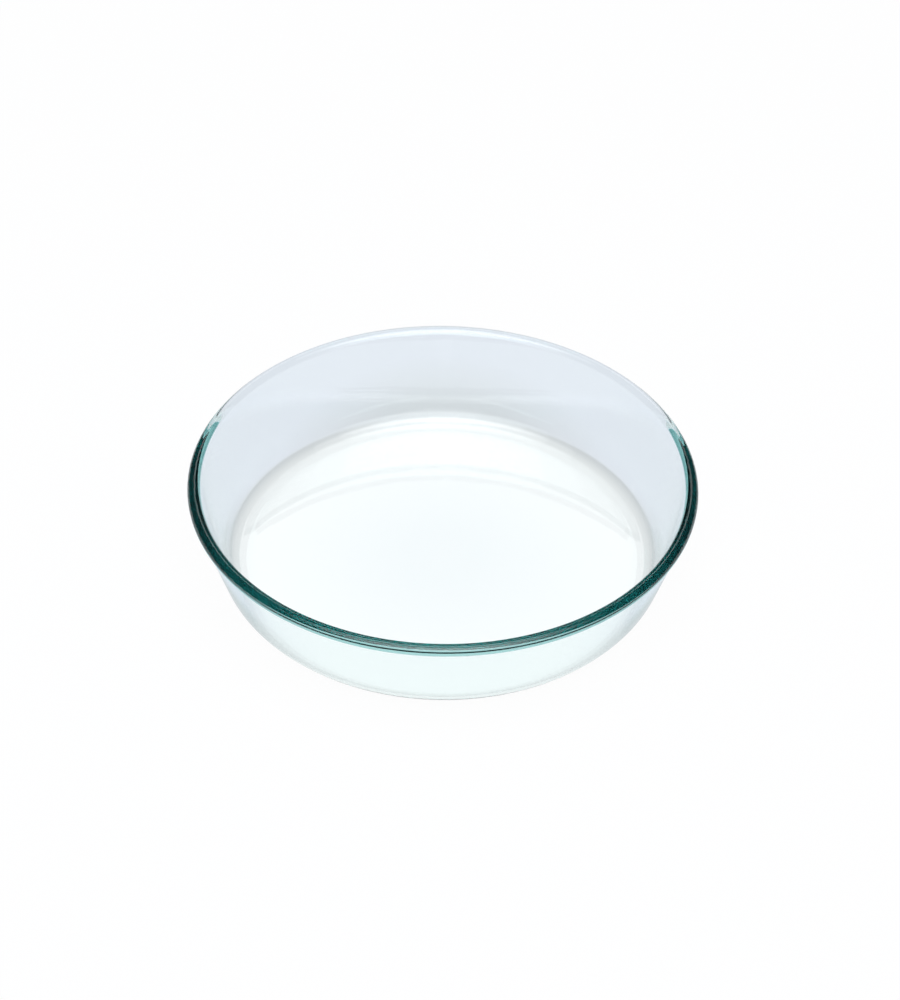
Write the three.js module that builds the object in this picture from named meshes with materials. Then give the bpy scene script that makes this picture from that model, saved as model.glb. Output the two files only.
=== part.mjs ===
// Round baking dish in clear pressed glass.
// It is one moulding: a floor on a foot ring, a rounded heel, a flared side and an out-turned lip.
// Millimetres, +Z up. The origin is the middle of the base, on the plane that the dish stands on.
import * as THREE from "three";

// Driving dimensions
const RIM_DIAMETER = 260; // over the lip
const HEIGHT = 55; // from the table to the top of the rim
const WALL = 5.3; // thickness of the side, square to its faces
const FLOOR = 5.4; // thickness of the floor over the foot ring
const LEAN_DEG = 17.7; // how far the side leans out from the vertical
const LIP_REACH = 1.9; // how far the lip stands out from the side
const LIP_HEIGHT = 4.9; // from the top of the rim to the root of the lip
const LIP_UNDER_RISE = 0.4; // how far the underside of the lip climbs from its root to its outer edge
const LIP_FACE_LEAN_DEG = 5; // how far the lip's outer face leans out from the vertical
const LIP_TOP_RADIUS = 3.3; // rounding of the lip's outer edge, above
const LIP_UNDER_RADIUS = 0.9; // rounding of the lip's outer edge, below
const LIP_ROOT_RADIUS = 1.8; // hollow where the lip meets the side
const RIM_INNER_RADIUS = 3.3; // rounding from the top of the rim into the dish
const INSIDE_RADIUS = 6; // hollow between the side and the floor
const HEEL_RADIUS = 16.8; // rounding between the side and the base
const FOOT_WIDTH = 9; // flat ring that the dish stands on
const BASE_RISE = 0.6; // how far the middle of the base is raised above that ring

// Fineness of the facets
const FACETS_ROUND = 96;
const ARC_STEP = THREE.MathUtils.degToRad(14);

// A corner of the section in the plane of radius and height. A radius of zero keeps it sharp.
const corner = (r, z, radius = 0) => ({ at: new THREE.Vector2(r, z), radius });

// Half of the angle between the two sides that meet at a corner.
function halfAngle(last, here, next) {
  const toLast = last.at.clone().sub(here.at);
  const toNext = next.at.clone().sub(here.at);
  return toLast.angleTo(toNext) / 2;
}

// An arc of the given radius, tangent to both sides of a corner, as points from last's side to next's.
function roundedCorner(last, here, next, radius) {
  const toLast = last.at.clone().sub(here.at).normalize();
  const toNext = next.at.clone().sub(here.at).normalize();
  const half = halfAngle(last, here, next);
  const bisector = toLast.clone().add(toNext).normalize();
  const centre = here.at.clone().addScaledVector(bisector, radius / Math.sin(half));
  const start = here.at.clone().addScaledVector(toLast, radius / Math.tan(half));
  const sweep = (2 * half - Math.PI) * Math.sign(toLast.cross(toNext));
  const steps = Math.ceil(Math.abs(sweep) / ARC_STEP);
  return Array.from({ length: steps + 1 }, (_, i) =>
    start.clone().rotateAround(centre, (sweep * i) / steps),
  );
}

// The outline through the corners. Two arcs that are too long for the side between them share it out.
function outline(corners) {
  const middle = corners.slice(1, -1);
  const reach = middle.map((here, i) =>
    here.radius / Math.tan(halfAngle(corners[i], here, corners[i + 2])),
  );
  const wanted = [0, ...reach, 0];
  const share = corners.slice(1).map((here, i) =>
    Math.min(1, here.at.distanceTo(corners[i].at) / (wanted[i] + wanted[i + 1])),
  );
  const turns = middle.flatMap((here, i) => {
    const radius = here.radius * Math.min(share[i], share[i + 1]);
    return radius > 0 ? roundedCorner(corners[i], here, corners[i + 2], radius) : [here.at];
  });
  return [corners[0].at, ...turns, corners.at(-1).at];
}

// Half of the dish's section, from the middle of the base out to the rim and back to the middle of the floor.
function dishSection() {
  const lean = THREE.MathUtils.degToRad(LEAN_DEG);
  const faceLean = THREE.MathUtils.degToRad(LIP_FACE_LEAN_DEG);
  const rimRadius = RIM_DIAMETER / 2;
  const lipRoot = HEIGHT - LIP_HEIGHT;
  const lipUnder = lipRoot + LIP_UNDER_RISE;
  // The leaning face and the top meet a little outside the widest point of the rounding between them
  const lipEdge = rimRadius + LIP_TOP_RADIUS * (Math.tan(Math.PI / 4 + faceLean / 2) - 1);
  const lipFace = (z) => lipEdge - (HEIGHT - z) * Math.tan(faceLean);
  const outside = (z) => rimRadius - LIP_REACH - (lipRoot - z) * Math.tan(lean);
  const inside = (z) => outside(z) - WALL / Math.cos(lean);
  const heelReach = HEEL_RADIUS * Math.tan((Math.PI / 2 - lean) / 2);
  const footInner = outside(0) - heelReach - FOOT_WIDTH;
  return outline([
    corner(0, BASE_RISE),
    corner(footInner, 0),
    corner(outside(0), 0, HEEL_RADIUS),
    corner(outside(lipRoot), lipRoot, LIP_ROOT_RADIUS),
    corner(lipFace(lipUnder), lipUnder, LIP_UNDER_RADIUS),
    corner(lipEdge, HEIGHT, LIP_TOP_RADIUS),
    corner(inside(HEIGHT), HEIGHT, RIM_INNER_RADIUS),
    corner(inside(FLOOR), FLOOR, INSIDE_RADIUS),
    corner(0, FLOOR),
  ]);
}

const glass = new THREE.MeshStandardMaterial({
  color: 0xdcebe8,
  roughness: 0.04,
  metalness: 0,
  transparent: true,
  opacity: 0.35,
});

const dish = new THREE.Mesh(
  new THREE.LatheGeometry(dishSection(), FACETS_ROUND).rotateX(Math.PI / 2),
  glass,
);
dish.name = "glass_dish";

const model = new THREE.Group();
model.add(dish);

export default model;
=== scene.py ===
"""Looks for the round glass baking dish: the glass, the table, the light and the camera. Metres, +Z up."""

import math

import bpy
from mathutils import Matrix, Vector


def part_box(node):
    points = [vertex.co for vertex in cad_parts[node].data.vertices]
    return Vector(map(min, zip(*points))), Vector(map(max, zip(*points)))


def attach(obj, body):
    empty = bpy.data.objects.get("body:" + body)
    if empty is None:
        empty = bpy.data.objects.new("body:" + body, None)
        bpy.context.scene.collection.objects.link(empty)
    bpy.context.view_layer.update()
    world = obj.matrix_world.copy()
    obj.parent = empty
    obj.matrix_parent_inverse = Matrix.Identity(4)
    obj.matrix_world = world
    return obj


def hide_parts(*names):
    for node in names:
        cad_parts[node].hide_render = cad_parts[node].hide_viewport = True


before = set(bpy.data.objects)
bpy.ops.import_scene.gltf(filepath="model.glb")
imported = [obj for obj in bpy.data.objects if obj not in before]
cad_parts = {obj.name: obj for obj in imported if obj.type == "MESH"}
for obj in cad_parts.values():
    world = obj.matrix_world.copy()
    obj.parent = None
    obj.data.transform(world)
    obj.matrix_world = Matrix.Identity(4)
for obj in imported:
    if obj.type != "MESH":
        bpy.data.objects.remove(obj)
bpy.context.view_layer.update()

# Sizes of the glass, as in the part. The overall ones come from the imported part.
DISH_NODE = "glass_dish"
dish_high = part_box(DISH_NODE)[1]
RIM_RADIUS = dish_high.x
HEIGHT = dish_high.z
WALL = 0.0053
FLOOR = 0.0054
LEAN = math.radians(17.7)
LIP_REACH = 0.0019
LIP_HEIGHT = 0.0049
LIP_UNDER_RISE = 0.0004
LIP_FACE_LEAN = math.radians(5)
LIP_TOP_RADIUS = 0.0033
LIP_UNDER_RADIUS = 0.0009
LIP_ROOT_RADIUS = 0.0018
RIM_INNER_RADIUS = 0.0033
INSIDE_RADIUS = 0.0060
HEEL_RADIUS = 0.0168
FOOT_WIDTH = 0.0090
BASE_RISE = 0.0006
# The bend where the base starts to rise is so slight that its radius is longer than the dish
FOOT_ROUNDING = 0.3

# Fineness of the mesh
SEGMENTS = 192
ARC_STEP = math.radians(5)
LINE_STEP = 0.004


def rounded_corner(last, corner, following):
    """Points of the arc that rounds a corner (r, z, radius) between the sides to its two neighbours."""
    at = Vector(corner[:2])
    to_last = (Vector(last[:2]) - at).normalized()
    to_next = (Vector(following[:2]) - at).normalized()
    half = to_last.angle(to_next) / 2
    radius = corner[2]
    centre = at + (to_last + to_next).normalized() * radius / math.sin(half)
    start = at + to_last * radius / math.tan(half) - centre
    sweep = (2 * half - math.pi) * math.copysign(1, to_last.cross(to_next))
    steps = math.ceil(abs(sweep) / ARC_STEP)
    return [centre + Matrix.Rotation(sweep * i / steps, 2) @ start for i in range(steps + 1)]


def dish_section():
    """Half of the dish's section as (r, z) points, from the base round the rim to the floor."""
    lip_root = HEIGHT - LIP_HEIGHT
    lip_under = lip_root + LIP_UNDER_RISE
    # The leaning face and the top meet a little outside the widest point of the rounding between them
    lip_edge = RIM_RADIUS + LIP_TOP_RADIUS * (math.tan(math.pi / 4 + LIP_FACE_LEAN / 2) - 1)

    def outside(z):
        return RIM_RADIUS - LIP_REACH - (lip_root - z) * math.tan(LEAN)

    def lip_face(z):
        return lip_edge - (HEIGHT - z) * math.tan(LIP_FACE_LEAN)

    def inside(z):
        return outside(z) - WALL / math.cos(LEAN)

    heel_reach = HEEL_RADIUS * math.tan((math.pi / 2 - LEAN) / 2)
    foot_inner = outside(0) - heel_reach - FOOT_WIDTH
    corners = [
        (0, BASE_RISE, 0),
        (foot_inner, 0, FOOT_ROUNDING),
        (outside(0), 0, HEEL_RADIUS),
        (outside(lip_root), lip_root, LIP_ROOT_RADIUS),
        (lip_face(lip_under), lip_under, LIP_UNDER_RADIUS),
        (lip_edge, HEIGHT, LIP_TOP_RADIUS),
        (inside(HEIGHT), HEIGHT, RIM_INNER_RADIUS),
        (inside(FLOOR), FLOOR, INSIDE_RADIUS),
        (0, FLOOR, 0),
    ]
    points = [Vector(corners[0][:2])]
    for last, corner, following in zip(corners, corners[1:], corners[2:]):
        points += rounded_corner(last, corner, following)
    points.append(Vector(corners[-1][:2]))
    return points


def evenly_spaced(points):
    """The same outline with its long sides divided, so that smooth shading stays flat on them."""
    spaced = [points[0]]
    for a, b in zip(points, points[1:]):
        steps = math.ceil((b - a).length / LINE_STEP)
        spaced += [a.lerp(b, i / steps) for i in range(1, steps + 1)]
    return spaced


def revolved(name, section):
    """A closed, smooth-shaded mesh of a section that starts and ends on the axis."""
    rings = section[1:-1]
    vertices = [(0, 0, section[0].y)]
    for radius, height in rings:
        for k in range(SEGMENTS):
            turn = 2 * math.pi * k / SEGMENTS
            vertices.append((radius * math.cos(turn), radius * math.sin(turn), height))
    vertices.append((0, 0, section[-1].y))
    last_ring = len(rings) - 1
    top = len(vertices) - 1

    def vertex(ring, k):
        return 1 + ring * SEGMENTS + k % SEGMENTS

    faces = []
    for k in range(SEGMENTS):
        faces.append((0, vertex(0, k + 1), vertex(0, k)))
        faces.append((top, vertex(last_ring, k), vertex(last_ring, k + 1)))
        for ring in range(last_ring):
            lower = (vertex(ring, k), vertex(ring, k + 1))
            upper = (vertex(ring + 1, k + 1), vertex(ring + 1, k))
            faces.append(lower + upper)
    mesh = bpy.data.meshes.new(name)
    mesh.from_pydata(vertices, [], faces)
    mesh.shade_smooth()
    piece = bpy.data.objects.new(name, mesh)
    bpy.context.scene.collection.objects.link(piece)
    return piece


def new_material(name):
    """An empty node material and its output node."""
    material = bpy.data.materials.new(name)
    material.use_nodes = True
    material.node_tree.nodes.clear()
    output = material.node_tree.nodes.new("ShaderNodeOutputMaterial")
    return material, material.node_tree.nodes, material.node_tree.links, output


WHITE = (1, 1, 1, 1)

# Absorption of the glass, per metre, in red, green and blue
ABSORPTION = (14.5, 5.6, 5.7)
GLASS_IOR = 1.5

# Slow waves that the mould leaves in the surface
WAVES_PER_METRE = 38
WAVE_DETAIL = 1
WAVE_HEIGHT = 0.00003

# The polish is a little duller in patches: this span of the noise is spread over the range of roughness
PATCHES_PER_METRE = 16
PATCH_DETAIL = 4
PATCH_SPAN = (0.45, 0.75)
ROUGHNESS_RANGE = (0.0, 0.03)


def noise(nodes, links, scale, detail):
    """An even noise in the glass's own coordinates."""
    place = nodes.new("ShaderNodeTexCoord")
    texture = nodes.new("ShaderNodeTexNoise")
    texture.inputs["Scale"].default_value = scale
    texture.inputs["Detail"].default_value = detail
    links.new(place.outputs["Object"], texture.inputs["Vector"])
    return texture.outputs["Fac"]


def clear_glass():
    """Pressed and polished glass that turns blue-green where light goes a long way in it."""
    material, nodes, links, output = new_material("clear_glass")
    glass = nodes.new("ShaderNodeBsdfPrincipled")
    glass.inputs["Base Color"].default_value = WHITE
    glass.inputs["IOR"].default_value = GLASS_IOR
    glass.inputs["Transmission Weight"].default_value = 1
    waves = nodes.new("ShaderNodeBump")
    waves.inputs["Distance"].default_value = WAVE_HEIGHT
    links.new(noise(nodes, links, WAVES_PER_METRE, WAVE_DETAIL), waves.inputs["Height"])
    links.new(waves.outputs["Normal"], glass.inputs["Normal"])
    polish = nodes.new("ShaderNodeMapRange")
    polish.inputs["From Min"].default_value = PATCH_SPAN[0]
    polish.inputs["From Max"].default_value = PATCH_SPAN[1]
    polish.inputs["To Min"].default_value = ROUGHNESS_RANGE[0]
    polish.inputs["To Max"].default_value = ROUGHNESS_RANGE[1]
    links.new(noise(nodes, links, PATCHES_PER_METRE, PATCH_DETAIL), polish.inputs["Value"])
    links.new(polish.outputs["Result"], glass.inputs["Roughness"])
    tint = nodes.new("ShaderNodeVolumeAbsorption")
    density = max(ABSORPTION)
    tint.inputs["Color"].default_value = (*(1 - a / density for a in ABSORPTION), 1)
    tint.inputs["Density"].default_value = density
    links.new(glass.outputs["BSDF"], output.inputs["Surface"])
    links.new(tint.outputs["Volume"], output.inputs["Volume"])
    return material


TABLE_RADIUS = 6.0
TABLE_GAP = 0.0003  # keeps the table's face clear of the foot
TABLE_COLOUR = (0.78, 0.82, 0.92, 1)
TABLE_WHITE_SEEN = 0.97  # share of white in what the camera sees of the table

# The table as the glass shows it, with light and shade painted into its colour. First the painted pool of
# light under the floor, a little dimmer in its middle, which ends in a painted dark line of shade round
# the foot: its colour, and how far it covers the painted shadow, by distance from the middle of the dish
PAINTED_POOL = (
    (0.0200, (0.93, 0.94, 0.96, 1)),
    (0.0900, (1.00, 0.99, 1.00, 1)),
    (0.0970, (1.00, 0.99, 1.00, 1)),
    (0.1040, (0.95, 0.95, 0.96, 1)),
    (0.1085, (0.87, 0.88, 0.89, 1)),
    (0.1165, (0.70, 0.72, 0.74, 1)),
    (0.1185, (0.70, 0.72, 0.74, 1)),
    (0.1225, (0.76, 0.78, 0.81, 0)),
)

# Then the painted soft oval shadow that the painted pool lies on, by distance from a point behind the
# middle, and white beyond it
PAINTED_SHADOW = (
    (0.092, (0.75, 0.77, 0.80, 1)),
    (0.112, (0.81, 0.83, 0.88, 1)),
    (0.135, (0.85, 0.87, 0.94, 1)),
    (0.210, (0.86, 0.88, 0.95, 1)),
    (0.290, WHITE),
)
PAINTED_SHADOW_CENTRE = (0, 0.04, 0)
PAINTED_SHADOW_NARROWING = (1.4, 1, 1)
RAMP_REACH = 0.3  # distance at the end of the ramps

# Towards the front the painted shadow gives way to painted white light, from the second of these places
# along Y to the first
PAINTED_FRONT_LIGHT = (-0.11, -0.06)


def scaled(nodes, links, value, factor):
    """A node output multiplied by a number."""
    product = nodes.new("ShaderNodeMath")
    product.operation = "MULTIPLY"
    product.inputs[1].default_value = factor
    links.new(value, product.inputs[0])
    return product.outputs["Value"]


def mixed(nodes, links, share, first, second):
    """Two shaders mixed by a share."""
    mix = nodes.new("ShaderNodeMixShader")
    links.new(share, mix.inputs["Fac"])
    links.new(first, mix.inputs[1])
    links.new(second, mix.inputs[2])
    return mix.outputs["Shader"]


def ring_colours(nodes, links, stops, centre=(0, 0, 0), narrowing=(1, 1, 1)):
    """A ramp of colours by distance from a point of the table, in rings that may be narrowed to ovals."""
    place = nodes.new("ShaderNodeTexCoord")
    mapping = nodes.new("ShaderNodeMapping")
    mapping.vector_type = "TEXTURE"
    mapping.inputs["Location"].default_value = centre
    mapping.inputs["Scale"].default_value = [1 / n for n in narrowing]
    links.new(place.outputs["Object"], mapping.inputs["Vector"])
    distance = nodes.new("ShaderNodeVectorMath")
    distance.operation = "LENGTH"
    links.new(mapping.outputs["Vector"], distance.inputs[0])
    ramp = nodes.new("ShaderNodeValToRGB")
    elements = ramp.color_ramp.elements
    for radius, colour in stops:
        elements.new(radius / RAMP_REACH).color = colour
    elements.remove(elements[0])
    elements.remove(elements[-1])
    links.new(scaled(nodes, links, distance.outputs["Value"], 1 / RAMP_REACH), ramp.inputs["Fac"])
    return ramp.outputs


def painted_table_light_and_shade(nodes, links):
    """The colour that the glass shows of the table, with light and shade painted in: the painted pool over
    the painted shadow, and painted white light in front.
    """
    painted_pool = ring_colours(nodes, links, PAINTED_POOL)
    painted_shadow = ring_colours(nodes, links, PAINTED_SHADOW, PAINTED_SHADOW_CENTRE, PAINTED_SHADOW_NARROWING)
    cover = nodes.new("ShaderNodeMixRGB")
    links.new(painted_pool["Alpha"], cover.inputs["Fac"])
    links.new(painted_shadow["Color"], cover.inputs["Color1"])
    links.new(painted_pool["Color"], cover.inputs["Color2"])
    place = nodes.new("ShaderNodeTexCoord")
    along = nodes.new("ShaderNodeSeparateXYZ")
    links.new(place.outputs["Object"], along.inputs["Vector"])
    fade = nodes.new("ShaderNodeMapRange")
    fade.inputs["From Min"].default_value = PAINTED_FRONT_LIGHT[0]
    fade.inputs["From Max"].default_value = PAINTED_FRONT_LIGHT[1]
    links.new(along.outputs["Y"], fade.inputs["Value"])
    # Painted white light over the front of the table
    lit = nodes.new("ShaderNodeMixRGB")
    lit.inputs["Color1"].default_value = WHITE
    links.new(fade.outputs["Result"], lit.inputs["Fac"])
    links.new(cover.outputs["Color"], lit.inputs["Color2"])
    return lit.outputs["Color"]


def table_material():
    """Pale paper that is lifted to white where the camera sees it, and where the glass shows it glows with
    painted light and shade instead of the lamps' light.
    """
    material, nodes, links, output = new_material("table")
    paper = nodes.new("ShaderNodeBsdfDiffuse")
    paper.inputs["Color"].default_value = TABLE_COLOUR
    # This emission, not the lamps, gives the table its painted pool of light and painted shadow wherever
    # the glass shows it
    painted_glow = nodes.new("ShaderNodeEmission")
    links.new(painted_table_light_and_shade(nodes, links), painted_glow.inputs["Color"])
    white = nodes.new("ShaderNodeEmission")
    light_path = nodes.new("ShaderNodeLightPath")
    by_glass = nodes.new("ShaderNodeMath")
    by_glass.operation = "MAXIMUM"
    links.new(light_path.outputs["Is Glossy Ray"], by_glass.inputs[0])
    links.new(light_path.outputs["Is Transmission Ray"], by_glass.inputs[1])
    seen = scaled(nodes, links, light_path.outputs["Is Camera Ray"], TABLE_WHITE_SEEN)
    lit = mixed(nodes, links, by_glass.outputs["Value"], paper.outputs["BSDF"], painted_glow.outputs["Emission"])
    final = mixed(nodes, links, seen, lit, white.outputs["Emission"])
    links.new(final, output.inputs["Surface"])
    return material


def add_disc(name, radius, height, material):
    """A flat round sheet that belongs to the setting."""
    corners = 96
    turns = [2 * math.pi * k / corners for k in range(corners)]
    edge = [(radius * math.cos(turn), radius * math.sin(turn), height) for turn in turns]
    mesh = bpy.data.meshes.new(name)
    mesh.from_pydata(edge, [], [range(corners)])
    mesh.materials.append(material)
    disc = bpy.data.objects.new(name, mesh)
    bpy.context.scene.collection.objects.link(disc)


ROOM_COLOUR = (0.04, 0.043, 0.046, 1)


def light_room():
    """White to the camera, and a dim room to everything else."""
    world = bpy.data.worlds.new("room")
    bpy.context.scene.world = world
    world.use_nodes = True
    nodes, links = world.node_tree.nodes, world.node_tree.links
    nodes.clear()
    output = nodes.new("ShaderNodeOutputWorld")
    room = nodes.new("ShaderNodeBackground")
    room.inputs["Color"].default_value = ROOM_COLOUR
    white = nodes.new("ShaderNodeBackground")
    white.inputs["Color"].default_value = WHITE
    seen = nodes.new("ShaderNodeLightPath").outputs["Is Camera Ray"]
    final = mixed(nodes, links, seen, room.outputs["Background"], white.outputs["Background"])
    links.new(final, output.inputs["Surface"])


def add_softbox(name, place, width, depth, radiance, fade_deg=90):
    """An oval lamp that faces the dish. A fade below 90 degrees dims it to none that far off its axis."""
    fade = math.radians(fade_deg)
    lamp = bpy.data.lights.new(name, "AREA")
    lamp.shape = "ELLIPSE"
    lamp.size = width
    lamp.size_y = depth
    lamp.spread = 2 * fade
    # The render keeps a fading lamp's power and so brightens its middle, which this takes back
    middle_share = 1 - fade / math.tan(fade)
    area = math.pi * width * depth / 4
    lamp.energy = math.pi * radiance * middle_share * area
    softbox = bpy.data.objects.new(name, lamp)
    softbox.location = place
    softbox.rotation_euler = (-Vector(place)).to_track_quat("-Z", "Y").to_euler()
    bpy.context.scene.collection.objects.link(softbox)


# The photo's viewpoint
CAMERA_DISTANCE = 1.6
CAMERA_ELEVATION = math.radians(41.15)
CAMERA_ROLL = math.radians(0.86)
PIXELS_PER_METRE = 1921.5
FRAME_SIZE = (900, 1000)
BASE_CENTRE_PIXEL = (441.9, 558.0)
SENSOR = 36  # millimetres


def add_camera():
    """A camera that sees the middle of the base at its pixel in the photo."""
    back = Vector((0, -math.cos(CAMERA_ELEVATION), math.sin(CAMERA_ELEVATION)))
    focal_pixels = PIXELS_PER_METRE * CAMERA_DISTANCE
    pan = math.atan2(FRAME_SIZE[0] / 2 - BASE_CENTRE_PIXEL[0], focal_pixels)
    tilt = math.atan2(BASE_CENTRE_PIXEL[1] - FRAME_SIZE[1] / 2, focal_pixels)
    turn = (
        (-back).to_track_quat("-Z", "Y").to_matrix().to_4x4()
        @ Matrix.Rotation(CAMERA_ROLL, 4, "Z")
        @ Matrix.Rotation(-pan, 4, "Y")
        @ Matrix.Rotation(tilt, 4, "X")
    )
    lens = bpy.data.cameras.new("camera")
    lens.sensor_width = SENSOR
    lens.lens = SENSOR * focal_pixels / max(FRAME_SIZE)
    camera = bpy.data.objects.new("camera", lens)
    camera.matrix_world = Matrix.Translation(back * CAMERA_DISTANCE) @ turn
    bpy.context.scene.collection.objects.link(camera)
    bpy.context.scene.camera = camera


# Light that is trapped in the rim turns many times before it gets out
MOST_BOUNCES = 32


def trace_long_paths():
    """Follow light through all its turns in the glass."""
    cycles = bpy.context.scene.cycles
    cycles.max_bounces = MOST_BOUNCES
    cycles.glossy_bounces = MOST_BOUNCES
    cycles.transmission_bounces = MOST_BOUNCES


dish = revolved("glass_dish_body", evenly_spaced(dish_section()))
dish.data.materials.append(clear_glass())
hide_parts(DISH_NODE)
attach(dish, "root")

add_disc("table", TABLE_RADIUS, -TABLE_GAP, table_material())
light_room()
add_softbox("overhead_light", place=(0, -0.6, 2.5), width=4.6, depth=3.0, radiance=2.0, fade_deg=48)
add_softbox("front_light", place=(0, -0.9, 2.22), width=3.4, depth=2.5, radiance=4.8, fade_deg=39)
add_softbox("back_light", place=(0, 2.26, 1.97), width=0.9, depth=0.7, radiance=1.5)
add_camera()
trace_long_paths()
bpy.context.scene.view_settings.view_transform = "Standard"
